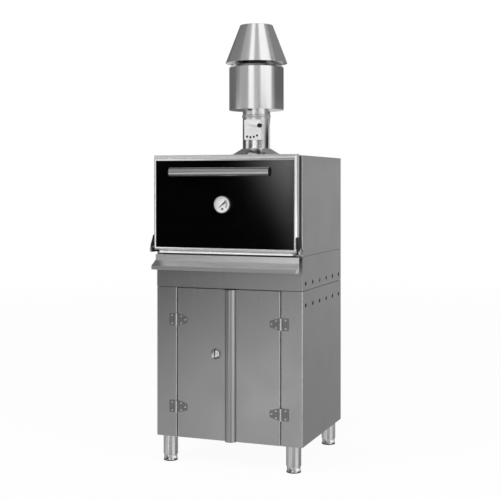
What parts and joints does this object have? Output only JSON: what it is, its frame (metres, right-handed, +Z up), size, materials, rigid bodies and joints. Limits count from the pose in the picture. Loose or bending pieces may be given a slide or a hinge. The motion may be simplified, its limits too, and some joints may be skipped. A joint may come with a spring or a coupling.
{
  "type": "charcoal oven",
  "caption": "Free-standing stainless charcoal oven with drop-down door, ash drawer, damped flue with spark drum and hat, and a two-door storage cabinet on levelling legs.",
  "frame": {"origin": "on the floor under the middle of the oven's overall box", "axes": "+X to the viewer's right, +Y to the back, +Z up"},
  "size_m": [0.6852, 0.706, 1.94],
  "materials": {
    "body_sheet": "brushed",
    "door_sheet": "brushed",
    "leg_steel": "brushed",
    "hinge_steel": "satin",
    "lock_chrome": "polished",
    "drawer_steel": "brushed",
    "tray_steel": "satin",
    "sill_steel": "satin",
    "firebox_steel": "matte",
    "grate_iron": "matte",
    "rack_steel": "satin",
    "insulation_wool": "matte",
    "seal_rope": "matte",
    "door_frame_steel": "brushed",
    "black_panel": "gloss",
    "hinge_black": "satin",
    "handle_steel": "brushed",
    "handle_black": "satin",
    "thermometer_rim": "polished",
    "dial_white": "matte",
    "needle_black": "matte",
    "clear_glass": "clear",
    "neck_steel": "polished",
    "flue_steel": "polished",
    "damper_steel": "satin",
    "knob_black": "gloss"
  },
  "bodies": {
    "body": {"cabinet_left_side": "body_sheet", "cabinet_right_side": "body_sheet", "cabinet_back": "body_sheet", "cabinet_floor": "body_sheet", "cabinet_top": "body_sheet", "base_sides": "body_sheet", "base_back": "body_sheet", "base_front": "body_sheet", "oven_sides": "body_sheet", "oven_back": "body_sheet", "oven_top": "body_sheet", "leg_tubes": "leg_steel", "hinge_jamb_leaves": "hinge_steel", "hinge_pins": "hinge_steel", "oven_door_hinge_pins": "hinge_steel", "drawer_runners": "tray_steel", "sill": "sill_steel", "front_frame": "firebox_steel", "oven_floor": "firebox_steel", "firebox_shell": "firebox_steel", "rack_runners": "firebox_steel", "charcoal_grate": "grate_iron", "lower_rack": "rack_steel", "upper_rack": "rack_steel", "insulation": "insulation_wool", "oven_door_hinge_brackets": "hinge_black", "flue_neck": "neck_steel", "flue_collar": "flue_steel", "spark_drum": "flue_steel", "hat_cone": "flue_steel", "hat_stays": "flue_steel", "damper_index_plate": "damper_steel"},
    "left_door": {"left_cabinet_door": "door_sheet", "left_door_hinge_leaves": "hinge_steel"},
    "lock": {"lock_knob": "lock_chrome", "lock_cam": "hinge_steel"},
    "right_door": {"right_cabinet_door": "door_sheet", "right_door_hinge_leaves": "hinge_steel"},
    "ash_drawer": {"ash_drawer_tray": "tray_steel", "ash_drawer_front": "drawer_steel"},
    "oven_door": {"oven_door_frame": "door_frame_steel", "oven_door_panel": "black_panel", "oven_door_insulation": "insulation_wool", "oven_door_liner": "firebox_steel", "oven_door_seal": "seal_rope", "oven_door_hinge_arms": "hinge_black", "door_handle_tube": "handle_steel", "door_handle_caps": "handle_black", "door_handle_posts": "handle_steel", "thermometer_case": "thermometer_rim", "thermometer_dial": "dial_white", "thermometer_glass": "clear_glass"},
    "needle": {"thermometer_needle": "needle_black"},
    "damper": {"damper_blade": "damper_steel", "damper_lever": "damper_steel", "damper_knob": "knob_black"},
    "foot_front_left": {"levelling_foot_front_left": "leg_steel"},
    "foot_front_right": {"levelling_foot_front_right": "leg_steel"},
    "foot_rear_left": {"levelling_foot_rear_left": "leg_steel"},
    "foot_rear_right": {"levelling_foot_rear_right": "leg_steel"}
  },
  "joints": [
    {"name": "oven_door_hinge", "type": "hinge", "parent": "body", "child": "oven_door", "pos_m": [0, -0.28, 0.929], "axis": [1, 0, 0], "range_deg": [0, 90]},
    {"name": "left_door_hinge", "type": "hinge", "parent": "body", "child": "left_door", "pos_m": [-0.24, -0.2393, 0.4365], "axis": [0, 0, -1], "range_deg": [0, 170]},
    {"name": "right_door_hinge", "type": "hinge", "parent": "body", "child": "right_door", "pos_m": [0.24, -0.2393, 0.4365], "axis": [0, 0, 1], "range_deg": [0, 170]},
    {"name": "lock_turn", "type": "hinge", "parent": "left_door", "child": "lock", "pos_m": [-0.055, -0.234, 0.483], "axis": [0, -1, 0], "range_deg": [0, 90]},
    {"name": "ash_drawer_slide", "type": "slide", "parent": "body", "child": "ash_drawer", "axis": [0, -1, 0], "range_m": [0, 0.27]},
    {"name": "damper_turn", "type": "hinge", "parent": "body", "child": "damper", "pos_m": [0, 0.118, 1.487], "axis": [0, 1, 0], "range_deg": [0, 90]},
    {"name": "needle_turn", "type": "hinge", "parent": "oven_door", "child": "needle", "pos_m": [0, -0.292, 1.1265], "axis": [0, 1, 0], "range_deg": [-187, 83]},
    {"name": "foot_front_left_screw", "type": "slide", "parent": "body", "child": "foot_front_left", "axis": [0, 0, -1], "range_m": [0, 0.02]},
    {"name": "foot_front_right_screw", "type": "slide", "parent": "body", "child": "foot_front_right", "axis": [0, 0, -1], "range_m": [0, 0.02]},
    {"name": "foot_rear_left_screw", "type": "slide", "parent": "body", "child": "foot_rear_left", "axis": [0, 0, -1], "range_m": [0, 0.02]},
    {"name": "foot_rear_right_screw", "type": "slide", "parent": "body", "child": "foot_rear_right", "axis": [0, 0, -1], "range_m": [0, 0.02]}
  ]
}
